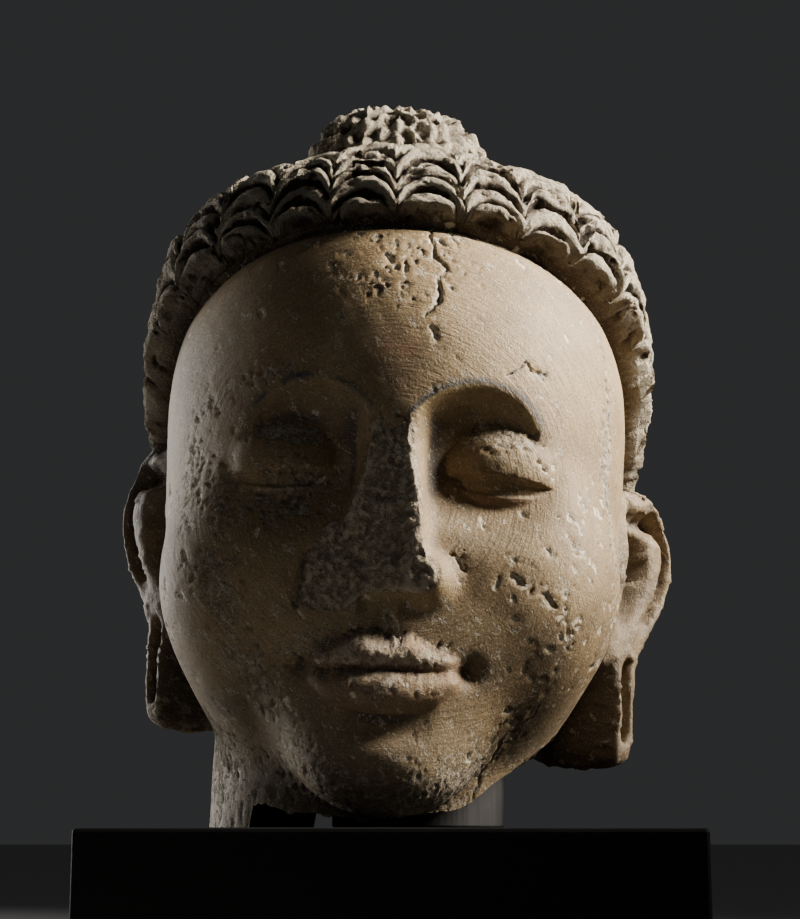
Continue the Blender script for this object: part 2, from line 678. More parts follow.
# Patches where the slip has gone: degrees round from the front and up from the face's middle,
# how wide and tall they are, a lean and a strength
WORN_PATCHES = (
    (-21, -4, 11, 9, 20, 0.80),
    (-23, 9, 10, 3.5, 0, 1.0),
    (23, 9.5, 10, 3.0, 0, 0.9),
    (-24, 19, 12, 3, 0, 0.75),
    (-44, 14, 8, 5, 30, 0.6),
    (-2, -33, 15, 4, 0, 0.95),
    (-36, -6, 5, 14, 25, 0.80),
    (-34, -22, 5, 12, 20, 0.9),
    (-30, -37, 6, 12, 25, 0.85),
    (-47, 2, 6, 14, 10, 0.6),
    (-16, -50, 9, 8, 0, 0.6),
    (14, -56, 16, 10, 0, 0.95),
    (-6, -62, 24, 9, 0, 0.8),
    (-62, -25, 9, 30, 0, 0.45),
    (2, 42, 12, 7, -20, 0.50),
    (-4, 33, 9, 6, 0, 0.45),
    (22, 52, 13, 5, 25, 0.55),
    (-8, 58, 12, 5, 10, 0.5),
    (54, 4, 3.5, 42, 0, 0.9),
    (60, -38, 7, 12, 0, 0.55),
    (-78, -50, 22, 16, 0, 0.75),
)
# Cracks, as runs of (degrees round, degrees up)
CRACKS = (
    ((4, 66), (3, 58), (8, 50), (5, 44), (10, 37), (6, 28)),
    ((52, 36), (54, 24), (56, 8), (55, -8), (57, -22), (53, -34)),
    ((32, -66), (36, -58), (35, -50), (40, -45)),
    ((22, 20), (26, 24), (30, 21)),
)
# Kinds of pits: degrees round and up, the spread of both, and the share of all pits
PIT_KINDS = (
    (38, -18, 11, 14, 0.46),
    (12, 46, 22, 9, 0.20),
    (-38, -22, 15, 22, 0.14),
    (5, -15, 50, 30, 0.20),
)


def bearings(points):
    """Degrees round from the front, degrees up, and the distance, from the face's middle."""
    offset = points - RAY_CENTRE
    flat = np.hypot(offset[..., 0], offset[..., 1])
    turn = np.degrees(np.arctan2(offset[..., 0], -offset[..., 1]))
    rise = np.degrees(np.arctan2(offset[..., 2], flat))
    return turn, rise, np.hypot(flat, offset[..., 2])


def worn_share(points):
    """How near points are to the middle of a worn patch, from 0 to 1."""
    turn, rise, _ = bearings(points)
    near = np.zeros(turn.shape)
    for middle, up, wide, tall, lean, strength in WORN_PATCHES:
        c, s = np.cos(np.radians(lean)), np.sin(np.radians(lean))
        a = (turn - middle) * np.cos(np.radians(up))
        b = rise - up
        spot = ((a * c + b * s) / wide) ** 2 + ((b * c - a * s) / tall) ** 2
        near = np.maximum(near, strength * np.exp(-spot))
    return np.maximum(near, nose_raw(points))


def nose_raw(points):
    """One on the broken front of the nose."""
    ragged = 0.09 * layers(points, 0.4, 47, 3)
    return fall(np.abs(beyond_break(points)) + ragged, 0.08, 0.14) * nose_window(points)


def slip_loss(points):
    """Ragged patches without slip, from 0 to 1: layered noise raised near each worn patch, cut off
    sharply."""
    ragged = 0.35 * layers(points, 0.60, 11, 3) + 1.05 * layers(points, 0.10, 17, 2)
    return step(ragged + 1.05 * worn_share(points) - 0.76, 0.0, 0.14)


def crack_share(points):
    """Thin grooves along the listed runs, wandering with noise."""
    turn, rise, reach = bearings(points)
    turn = turn + 1.6 * noise(points, 0.45, 31) + 0.7 * noise(points, 0.16, 32)
    rise = rise + 1.6 * noise(points, 0.45, 33) + 0.7 * noise(points, 0.16, 34)
    flat = np.cos(np.radians(rise))
    nearest = np.full(turn.shape, 90.0)
    for run in CRACKS:
        for (t0, r0), (t1, r1) in zip(run[:-1], run[1:]):
            along = np.array(((t1 - t0), (r1 - r0)), float)
            share = ((turn - t0) * along[0] + (rise - r0) * along[1]) / (along @ along)
            share = np.clip(share, 0, 1)
            gap = np.hypot((turn - t0 - share * along[0]) * flat, rise - r0 - share * along[1])
            nearest = np.minimum(nearest, gap)
    return 1 - step(np.radians(nearest) * reach, 0.006, 0.046)


def pit_places(count):
    """Middles, directions, half lengths and half widths of the pits, in angulas: most on the
    cheeks and the forehead, drawn in a fixed order."""
    draw = np.random.default_rng(7)
    pick = draw.choice(len(PIT_KINDS), size=count, p=[kind[4] for kind in PIT_KINDS])
    spread = np.array([kind[:4] for kind in PIT_KINDS])[pick]
    turn = np.radians(spread[:, 0] + spread[:, 2] * draw.normal(size=count))
    rise = np.radians(np.clip(spread[:, 1] + spread[:, 3] * draw.normal(size=count), -75, 62))
    rays, middles = face_points(turn, rise)
    lean = draw.normal(-0.85, 0.45, size=count)
    level = np.stack([np.cos(turn), np.sin(turn), 0 * turn], -1)
    upright = np.cross(rays, level)
    along = np.cos(lean)[:, None] * level + np.sin(lean)[:, None] * upright
    half_length = 0.065 + 0.13 * draw.random(count) ** 2.0
    half_width = half_length * (0.22 + 0.20 * draw.random(count))
    return middles, rays, along, half_length, np.maximum(half_width, 0.030)


def pit_share(points, count):
    """Hollows shaped like half ellipsoids with ragged edges, each long in its own direction."""
    share = np.zeros(points.shape[:-1])
    flat = points.reshape(-1, 3)
    found = share.reshape(-1)
    front = np.nonzero(flat[:, 1] < 1.5)[0]
    subset = flat[front]
    ragged = 1 + 1.2 * noise(subset, 0.08, 63)
    depth = np.zeros(len(front))
    for middle, ray, along, half_length, half_width in zip(*pit_places(count)):
        offset = subset - middle
        near = np.nonzero((offset**2).sum(axis=1) < (2.5 * half_length) ** 2)[0]
        offset = offset[near]
        cross = np.cross(ray, along)
        spot = (offset @ along / half_length) ** 2 + (offset @ cross / half_width) ** 2
        bowl = np.clip(1 - (spot * ragged[near]) ** 2, 0, 1) * min(1.0, half_width / 0.06)
        depth[near] = np.maximum(depth[near], bowl)
    found[front] = depth
    return share


def crumble(points):
    """Rough lumps and small uneven pocks of worn plaster, about nothing on average."""
    lumps = layers(points, 0.36, 51, 4)
    deep = step(noise(points, 0.5, 58), -0.2, 0.6)
    pocks = deep * fall(speckle(points + 0.05 * lumps[..., None], 0.17, 61), 0.10, 0.42)
    return 0.95 * lumps - 0.5 * pocks


def grid_normals(grid):
    """Outward unit normals of a closed grid of rings, from its neighbours' differences."""
    around = np.roll(grid, -1, axis=1) - np.roll(grid, 1, axis=1)
    up = np.gradient(grid, axis=0)
    normal = np.cross(around, up)
    length = np.linalg.norm(normal, axis=-1, keepdims=True)
    return np.where(length > 1e-9, normal / np.maximum(length, 1e-9), 0)


def wear_skin(grid, sizes):
    """Pushes the skin in and out along its normals: slow unevenness, lost slip, pits and cracks.
    What the hair covers is left as it is."""
    turn, angle = crown_bearings(grid)
    open_skin = step(angle - hairline(turn), -0.10, -0.04)
    lost = slip_loss(grid)
    raw = nose_raw(grid)
    clods = 0.5 - np.abs(noise(grid * (1, 1, 0.6), 0.55, 45)) - 0.5 * np.abs(noise(grid, 0.24, 46))
    push = UNEVENNESS * layers(grid, 2.4, 5, 2) + GRAIN_DEPTH * layers(grid, 0.25, 71, 3)
    push += lost * (FLAKE_DEPTH * layers(grid, 0.12, 72, 2) - sizes.slip)
    push += raw * (SWELL_DEPTH * layers(grid, 1.3, 41, 2) + CLOD_DEPTH * clods
                   + CRUMB_DEPTH * crumble(grid) - BREAK_SINK)
    push -= sizes.pit_depth * pit_share(grid, sizes.pit_count) * (1 - raw)
    push -= sizes.crack_depth * crack_share(grid)
    push = push * open_skin - GROOVE_DEPTH * hair_groove(turn, angle)
    push /= sizes.angula
    return grid + push[..., None] * grid_normals(grid)


def wear_rough(grid, sizes, coarse, fine):
    """Crumbles a surface of bare plaster: lumps some millimetres wide and small chips, each by
    an amount in metres."""
    push = coarse * (crumble(grid) - 0.3) + fine * layers(grid, 0.13, 55, 3)
    chipped = step(noise(grid, 0.32, 57) + 0.6 * noise(grid, 0.11, 59), 0.35, 0.60)
    push = (push - 1.6 * fine * chipped) / sizes.angula
    return grid + push[..., None] * grid_normals(grid)


def worn_ears(sizes):
    """The rings of both ears. The left ear is mirrored, and its rings run the other way round."""
    for side, ear in ((-1, LEFT_EAR), (1, RIGHT_EAR)):
        rings = ear_surface(*ear, *sizes.lines(*EAR_LINES)) * (side, 1, 1)
        yield wear_rough(rings[:, ::side], sizes, *EAR_WEAR)


# Meshes

def mesh_from(name, points, quads, triangles):
    """A mesh from arrays of points, four-sided faces and three-sided faces."""
    mesh = bpy.data.meshes.new(name)
    corners = np.concatenate([quads.ravel(), triangles.ravel()]).astype(np.int32)
    sizes = np.concatenate([np.full(len(quads), 4), np.full(len(triangles), 3)])
    starts = np.concatenate([[0], np.cumsum(sizes)[:-1]]).astype(np.int32)
    mesh.vertices.add(len(points))
    mesh.vertices.foreach_set("co", points.astype(np.float32).ravel())
    mesh.loops.add(len(corners))
    mesh.loops.foreach_set("vertex_index", corners)
    mesh.polygons.add(len(sizes))
    mesh.polygons.foreach_set("loop_start", starts)
    mesh.update(calc_edges=True)
    mesh.validate()
    return mesh


def add_object(name, data):
    """An object for a mesh, a lamp or a camera, in the scene."""
    thing = bpy.data.objects.new(name, data)
    bpy.context.scene.collection.objects.link(thing)
    return thing


def grid_faces(here, side):
    """Four-sided faces between rows of point numbers and the same rows one column on."""
    return np.stack([here[:-1], side[:-1], side[1:], here[1:]], -1).reshape(-1, 4)


def shell(name, rings, placement, share=1.0):
    """A closed skin over a grid of rings, put in its place, with a share of its triangles kept.
    One point at the middle of the first ring, and one of the last, closes each end."""
    rows, columns = rings.shape[0] - 2, rings.shape[1]
    ends = [rings[0].mean(axis=0), rings[-1].mean(axis=0)]
    points = np.concatenate([rings[1:-1].reshape(-1, 3), ends])
    here = np.arange(rows * columns).reshape(rows, columns)
    side = np.roll(here, -1, axis=1)
    first, last = rows * columns, rows * columns + 1
    bottom = np.stack([np.full(columns, first), side[0], here[0]], -1)
    top = np.stack([np.full(columns, last), here[-1], side[-1]], -1)
    mesh = mesh_from(name, points, grid_faces(here, side), np.concatenate([bottom, top]))
    thing = add_object(name, mesh)
    mesh.transform(placement)
    turn_outwards(mesh)
    thin(thing, share)
    return thing


def turn_outwards(mesh):
    """Flips a closed mesh whose volume is negative, so that its faces point out."""
    mesh.calc_loop_triangles()
    points = read_points(mesh)[read(mesh.loop_triangles, "vertices", 3, np.int32)]
    volume = np.einsum("ij,ij->i", points[:, 0], np.cross(points[:, 1], points[:, 2])).sum()
    if volume < 0:
        mesh.flip_normals()


def read(items, field, width, kind=np.float32):
    """A field of a mesh's points, edges or triangles, one row each."""
    flat = np.empty(len(items) * width, dtype=kind)
    items.foreach_get(field, flat)
    return flat.reshape(-1, width)


def read_points(mesh):
    """A mesh's points, one row each."""
    return read(mesh.vertices, "co", 3).astype(float)


def settle(thing):
    """Applies a thing's modifiers to its mesh."""
    evaluated = thing.evaluated_get(bpy.context.evaluated_depsgraph_get())
    mesh = bpy.data.meshes.new_from_object(evaluated)
    old = thing.data
    thing.modifiers.clear()
    thing.data = mesh
    bpy.data.meshes.remove(old)


def thin(thing, share):
    """Keeps a share of the triangles, most where the surface bends most."""
    if share < 1:
        cut = thing.modifiers.new("Thin", "DECIMATE")
        cut.ratio = share
        settle(thing)


def combine(target, other, operation):
    """Joins or cuts two closed meshes and removes the second."""
    cut = target.modifiers.new("Combine", "BOOLEAN")
    cut.operation = operation
    cut.solver = "MANIFOLD"
    cut.object = other
    settle(target)
    bpy.data.objects.remove(other)


def head_placement(sizes):
    """The matrix from angulas about the chin to metres on the base."""
    lean = Matrix.Rotation(sizes.roll, 4, "Y") @ Matrix.Rotation(-sizes.pitch, 4, "X")
    place = Matrix.Translation((*sizes.place, BASE_TOP + sizes.chin_rise))
    return place @ lean @ Matrix.Scale(sizes.angula, 4)


def break_height(x, y):
    """Height of the break above the base's top: an edge that rises to both sides, crumbled. At
    one side a shard of the neck's wall is left standing down to the base, with a rough mass
    behind it."""
    rise = curve(BREAK_ACROSS, BREAK_RISE, x)
    u, v = x / LUMP_SIZE, y / LUMP_SIZE
    lumps = np.sin(1.7 * u + 1.3 * np.sin(1.1 * v)) * np.cos(1.3 * v - 0.9 * np.sin(0.8 * u))
    flat = np.stack([x, y, 0 * x], -1)
    ragged = layers(flat, 0.012, 81, 4)
    rough = LUMP_RISE * lumps + RAGGED_RISE * ragged
    rough = rough - POCK_DEPTH * fall(speckle(flat, 0.006, 85), 0.15, 0.5)
    inner = INNER_RISE * step(y, -0.055, -0.02)
    wall = fall(x + 0.004 * ragged, SHARD_EDGE - 0.002, SHARD_EDGE + 0.002)
    mass = fall(x + 0.006 * ragged, INNER_EDGE - 0.004, INNER_EDGE + 0.004)
    mass = mass * step(y + 0.006 * ragged, INNER_BACK - 0.004, INNER_BACK + 0.004)
    shard = np.maximum(wall * step(y, -0.05, -0.04), mass)
    height = (rise + rough + inner) * (1 - shard) - SHARD_DROP * shard
    return np.maximum(height, TOUCH_GAP)


def break_cutter(angula, steps):
    """Everything below the break, as a slab with the break for its top."""
    reach = CUTTER_REACH * angula
    x, y = np.meshgrid(np.linspace(-reach, reach, steps), np.linspace(-reach, reach, steps))
    top = np.stack([x, y, BASE_TOP + break_height(x, y)], -1).reshape(-1, 3)
    floor = top * (1, 1, 0) + (0, 0, BASE_TOP - CUTTER_DEPTH * angula)
    here = np.arange(steps * steps).reshape(steps, steps)
    quads = grid_faces(here[:, :-1], here[:, 1:])
    rim = np.concatenate([here[0, :-1], here[:-1, -1], here[-1, :0:-1], here[:0:-1, 0]])
    below = rim + steps * steps
    walls = np.stack([rim, below, np.roll(below, -1), np.roll(rim, -1)], -1)
    triangles = np.concatenate([quads[:, [0, 1, 2]], quads[:, [0, 2, 3]]])
    triangles = np.concatenate([triangles, triangles[:, ::-1] + steps * steps])
    mesh = mesh_from("break", np.concatenate([top, floor]), walls, triangles)
    turn_outwards(mesh)
    return add_object("break", mesh)


def lathe(name, profile, around):
    """A closed turned solid: radii and heights from the bottom up, carried round the post's axis.
    The first and the last ring stand twice, because a shell closes on the middles of its ends."""
    turn = np.linspace(0, 2 * pi, around, endpoint=False)
    radius, height = np.array(profile).T
    x = POST_CENTRE[0] + radius[:, None] * np.cos(turn)
    y = POST_CENTRE[1] + radius[:, None] * np.sin(turn)
    rings = np.stack([x, y, height[:, None] + 0 * x], -1)
    return shell(name, np.concatenate([rings[:1], rings, rings[-1:]]), Matrix.Identity(4))


def smooth(mesh, degrees):
    """Shades a mesh smoothly, apart from edges that bend by more than so many degrees."""
    mesh.shade_smooth()
    mesh.set_sharp_from_angle(angle=radians(degrees))


def dress(piece, finish):
    """Gives a piece one material in place of any that it has."""
    piece.data.materials.clear()
    piece.data.materials.append(finish)


def finish_piece(piece, node, finish):
    """Gives a piece its material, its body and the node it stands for."""
    dress(piece, finish)
    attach(piece, "root")
    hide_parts(node)


# Marks: numbers kept at each point of the finished head, which its material reads

def smoothed(points, edges, rounds):
    """Points moved to the mean of their neighbours, over and over."""
    count = np.bincount(edges.ravel(), minlength=len(points))[:, None]
    for _ in range(rounds):
        total = np.stack([np.bincount(edges[:, 0], points[edges[:, 1], k], len(points))
                          + np.bincount(edges[:, 1], points[edges[:, 0], k], len(points))
                          for k in range(3)], -1)
        points = total / np.maximum(count, 1)
    return points


def hollowness(mesh, rounds):
    """How far each point lies below the smoothed surface, in metres: hollows positive."""
    points = read_points(mesh)
    shift = smoothed(points, read(mesh.edges, "vertices", 2, np.int32), rounds) - points
    return (shift * read(mesh.vertices, "normal", 3)).sum(axis=1)


def crown_bearings(points):
    """Turn from the front and angle from the crown's axis."""
    offset = points - HAIR_CENTRE
    c, s = np.cos(CROWN_TILT), np.sin(CROWN_TILT)
    front = offset[..., 1] * c - offset[..., 2] * s
    up = offset[..., 2] * c + offset[..., 1] * s
    turn = np.arctan2(offset[..., 0], -front)
    return turn, np.arctan2(np.hypot(offset[..., 0], front), up)


def paint_marks(points, open_skin):
    """Where the brow line, the gilding below it and the red of the urna, the lips and the lids'
    edges are left, each as a bell about its line, broken up by noise."""
    near = mirrored(points)
    socket = ellipsoid(near, SOCKET, SOCKET_RADII)
    faded = step(layers(points, 0.4, 91, 3) + 0.7 * step(points[:, 0], -0.5, 0.5), -0.20, 0.20)
    arch = step(near[:, 2], 7.55, 7.9) * fall(near[:, 0], 3.6, 4.3) * open_skin
    below = fall(socket, 0.04, 0.08) * bell(skull(near) + 0.030, 0.014)
    front = step(-points[:, 1], 3, 4)
    urna = bell(points[:, 0], 0.42) * bell(points[:, 2] - URNA_Z, 0.36) * front
    urna = urna * step(layers(points, 0.16, 95, 2), -0.25, 0.3)
    mouth = bell(np.maximum(lips(near), 0), 0.06) * front
    _, _, _, above_lower = lid_edges(near)
    lid = bell(above_lower + 0.12, 0.09) * fall(np.abs(eyes(near)), 0.02, 0.1)
    return {
        "brow": 1.5 * bell(socket - 0.10, 0.045) * arch * faded,
        "gold": 0.8 * below * arch * faded * step(points[:, 0], -0.3, 0.3),
        "red": 0.9 * urna + 0.14 * mouth + 0.25 * lid,
    }


def mark_head(mesh, sizes):
    """Works out where the hair, bare plaster, pits, hollows, crests and paint traces lie, and
    keeps them on the mesh by name, each from 0 to 1."""
    placement = np.array(head_placement(sizes).inverted())
    points = read_points(mesh) @ placement[:3, :3].T + placement[:3, 3]
    outside = head_form(mirrored(points))
    turn, angle = crown_bearings(points)
    hair = step(outside, 0.10, 0.22) * step(hairline(turn) + 0.10 - angle, 0.0, 0.04)
    hair = np.maximum(hair, step(points[:, 2], 13.0, 13.4))
    right_ear, right_soil = ear_cover(points, *RIGHT_EAR)
    left_ear, left_soil = ear_cover(points * (-1, 1, 1), *LEFT_EAR)
    hair = hair * ~right_ear * ~left_ear
    skin = 1 - hair
    raw = step(-outside, 0.10, 0.20)
    underside = step(angle - hairline(turn), -0.020, 0.005)
    coarse = hollowness(mesh, 40)
    fine = hollowness(mesh, 5)
    marks = {
        "hair": hair,
        "raw": raw,
        "groove": hair_groove(turn, angle) * skin + 0.4 * underside * hair,
        "ear": 0.5 * (right_ear | left_ear) + 0.5 * np.maximum(right_soil, left_soil),
        "lost": slip_loss(points) * skin,
        "worn": worn_share(points) * skin,
        "pit": pit_share(points, sizes.pit_count) * skin,
        "crack": crack_share(points) * skin,
        "hollow": coarse / HOLLOW_DEPTH,
        "crest": -coarse / CREST_HEIGHT,
        "nick": fine / NICK_DEPTH,
        "edge": -fine / NICK_DEPTH,
        **paint_marks(points, (1 - raw) * skin),
    }
    for name, values in marks.items():
        mark = mesh.attributes.new(name, "FLOAT", "POINT")
        mark.data.foreach_set("value", np.clip(values, 0, 1).astype(np.float32))


# Shader nodes

class Value:
    """A socket of a material's tree that can be added, subtracted, multiplied and raised."""

    def __init__(self, tree, socket):
        self.tree = tree
        self.socket = socket

    def maths(self, operation, *others, clamp=False):
        """A Math node of this operation, fed with the values that follow."""
        node = self.tree.nodes.new("ShaderNodeMath")
        node.operation = operation
        node.use_clamp = clamp
        for slot, value in zip(node.inputs, others):
            feed(self.tree, slot, value)
        return Value(self.tree, node.outputs[0])

    def __add__(self, other):
        return self.maths("ADD", self, other)

    __radd__ = __add__

    def __sub__(self, other):
        return self.maths("SUBTRACT", self, other)

    def __rsub__(self, other):
        return self.maths("SUBTRACT", other, self)

    def __mul__(self, other):
        return self.maths("MULTIPLY", self, other)

    __rmul__ = __mul__

    def __pow__(self, other):
        return self.maths("POWER", self, other)

    def clamped(self):
        """The same number, kept from 0 to 1."""
        return self.maths("ADD", self, 0.0, clamp=True)


def feed(tree, slot, value):
    """Links a value to a socket, or sets the socket to a plain number or colour."""
    if isinstance(value, Value):
        tree.links.new(value.socket, slot)
    else:
        slot.default_value = value


class Finish:
    """A material with one principled shader, and one method that adds any other node."""

    def __init__(self, name):
        self.material = bpy.data.materials.new(name)
        self.material.use_nodes = True
        self.tree = self.material.node_tree
        self.shader = self.tree.nodes["Principled BSDF"]
        self.place = self.node("ShaderNodeTexCoord", out="Object")

    def node(self, kind, settings=None, out=0, **values):
        """A node of a kind: its settings first, then values or links of its sockets by name,
        with underscores for spaces. A letter and a number pick a socket by its place."""
        node = self.tree.nodes.new(kind)
        for name, setting in (settings or {}).items():
            setattr(node, name, setting)
        for name, value in values.items():
            slot = int(name[1:]) if name[1:].isdigit() else name.replace("_", " ")
            feed(self.tree, node.inputs[slot], value)
        return Value(self.tree, node.outputs[out])

    def set(self, **values):
        """Feeds the principled shader's sockets."""
        for name, value in values.items():
            feed(self.tree, self.shader.inputs[name.replace("_", " ")], value)

    def mark(self, name):
        """A number kept at the mesh's points."""
        return self.node("ShaderNodeAttribute", {"attribute_name": name}, out="Fac")

    def axes(self):
        """The three object coordinates, in metres."""
        split = self.node("ShaderNodeSeparateXYZ", Vector=self.place).socket.node
        return [Value(self.tree, out) for out in split.outputs]

    def stretched(self, scale):
        """Object coordinates with each axis scaled."""
        return self.node("ShaderNodeMapping", Vector=self.place, Scale=scale)

    def noise(self, scale, detail, roughness, vector=None, distortion=0.0):
        """Layered noise about a half, its scale in cells per unit of the vector."""
        return self.node("ShaderNodeTexNoise", Vector=vector or self.place, Scale=scale,
                         Detail=detail, Roughness=roughness, Distortion=distortion, out="Fac")

    def ramp(self, value, low, high):
        """Zero at low, one at high, eased between."""
        return self.node("ShaderNodeMapRange", {"interpolation_type": "SMOOTHSTEP"}, Value=value,
                         From_Min=low, From_Max=high)

    def mix(self, share, a, b):
        """Colour a, with a share of colour b."""
        colours = [c if isinstance(c, Value) else (*c, 1.0) for c in (a, b)]
        return self.node("ShaderNodeMix", {"data_type": "RGBA"}, out=2,
                         s0=share, s6=colours[0], s7=colours[1])

    def coated(self, colour, *coats):
        """A colour under coats, each a share and the colour that it lays on."""
        for share, coat in coats:
            colour = self.mix(share, colour, coat)
        return colour

    def bump(self, height, distance, strength, normal=None):
        """Normals tilted by a height, whose full range is a distance in metres."""
        values = {"Height": height, "Distance": distance, "Strength": strength}
        if normal is not None:
            values["Normal"] = normal
        return self.node("ShaderNodeBump", **values)


def shaded(colour, strength):
    """A colour times a number."""
    return tuple(strength * channel for channel in colour)


# Marks that the stucco reads, and its noises: cells in a metre, detail and roughness
MARKS = ("hair", "raw", "groove", "ear", "lost", "worn", "pit", "crack", "hollow", "crest", "nick",
         "edge", "brow", "gold", "red")
STUCCO_NOISES = {
    "clouds": (16.0, 5.0, 0.6),
    "stains": (31.0, 5.0, 0.65),
    "mottle": (95.0, 5.0, 0.65),
    "ragged": (300.0, 5.0, 0.7),
    "grit": (620.0, 4.0, 0.7),
    "grain": (1300.0, 3.0, 0.65),
}
# The middle of the brushed rings, and the heights where the soil of the jaw starts and is full
BRUSH_MIDDLE = 0.165
JAW_SOIL_FROM = 0.205
JAW_SOIL_FULL = 0.115

# Colours of the stucco that no setting changes
STAIN = (0.120, 0.088, 0.052)
JAW_SOIL = (0.175, 0.130, 0.078)
CLOD_DARK = (0.220, 0.175, 0.125)
CLOD_PALE = (0.44, 0.36, 0.255)
EAR_SOIL = (0.125, 0.093, 0.061)
LOBE_SOIL = (0.105, 0.079, 0.053)
LOCK_DARK = (0.190, 0.155, 0.112)
LOCK_PALE = (0.72, 0.635, 0.495)
LOCK_STAIN = (0.21, 0.165, 0.115)
RUBBED_EDGE = (0.62, 0.54, 0.41)
PALE_RIM = (0.66, 0.585, 0.45)
PIT_CORE = (0.170, 0.130, 0.088)
CHIP_CORE = (0.105, 0.078, 0.052)
CRACK_RIM = (0.42, 0.42, 0.38)
GILDING = (0.55, 0.42, 0.15)
PALE_GRAIN = (0.60, 0.49, 0.34)


class Stucco(Finish):
    """The head's material, with its marks, its noises and what is worked out from them at hand
    by name: streaks of the brush, which went in rings about the face's middle, soiled for the
    jaw, broken for the nose's break, patchy and gone for lost slip, rough for gone and hair, and
    chips."""

    def __init__(self):
        super().__init__("worn_stucco")
        for name in MARKS:
            setattr(self, name, self.mark(name))
        for name, settings in STUCCO_NOISES.items():
            setattr(self, name, self.noise(*settings))
        x, _, z = self.axes()
        ring = (x * x + (z - BRUSH_MIDDLE) * (z - BRUSH_MIDDLE)) ** 0.5
        brushed = self.node("ShaderNodeCombineXYZ", X=ring * 760.0, Y=x * 90.0, Z=z * 90.0)
        self.streaks = self.noise(1.0, 4.0, 0.6, vector=brushed, distortion=0.3)
        self.soiled = self.ramp(z + self.stains * 0.09, JAW_SOIL_FROM, JAW_SOIL_FULL)
        self.broken = self.ramp(self.worn, 0.96, 0.995)
        clouded = self.ramp(self.clouds, 0.50, 0.66)
        self.patchy = (self.worn + clouded * 0.34 + self.soiled * 0.12).clamped()
        flakes = self.lost * 0.30 + self.patchy * 0.42 + (self.ragged - 0.5) * 0.60
        flakes = self.ramp(flakes + (self.grit - 0.5), 0.34, 0.41)
        self.gone = (flakes * self.ramp(self.patchy, 0.05, 0.35) + self.raw + self.broken).clamped()
        self.rough = (self.gone + self.hair).clamped()
        slanting = self.node("ShaderNodeMapping", {"vector_type": "TEXTURE"}, Vector=self.place,
                             Rotation=(0.0, 0.85, 0.0), Scale=(0.0065, 0.0040, 0.0030))
        self.chipping = self.noise(1.0, 4.0, 0.72, vector=slanting) + 0.06 * self.patchy
        self.chips = self.ramp(self.chipping, 0.620, 0.634) * (1 - self.rough)


def slip_colour(f, colours):
    """Buff slip, rubbed to cream in clouds, stained, soiled towards the jaw and brushed."""
    rubbed = f.ramp(f.clouds * 0.65 + f.mottle * 0.35 + f.streaks * 0.06, 0.44, 0.70)
    return f.coated(
        f.mix(rubbed, colours.buff, colours.cream),
        (f.ramp(f.stains, 0.56, 0.34) * (0.45 + 0.35 * f.soiled), STAIN),
        (f.soiled * 0.45, JAW_SOIL),
        (f.ramp(f.streaks, 0.56, 0.34) * 0.20, shaded(colours.buff, 0.5)),
        (f.ramp(f.ragged, 0.60, 0.72) * 0.30, colours.cream))


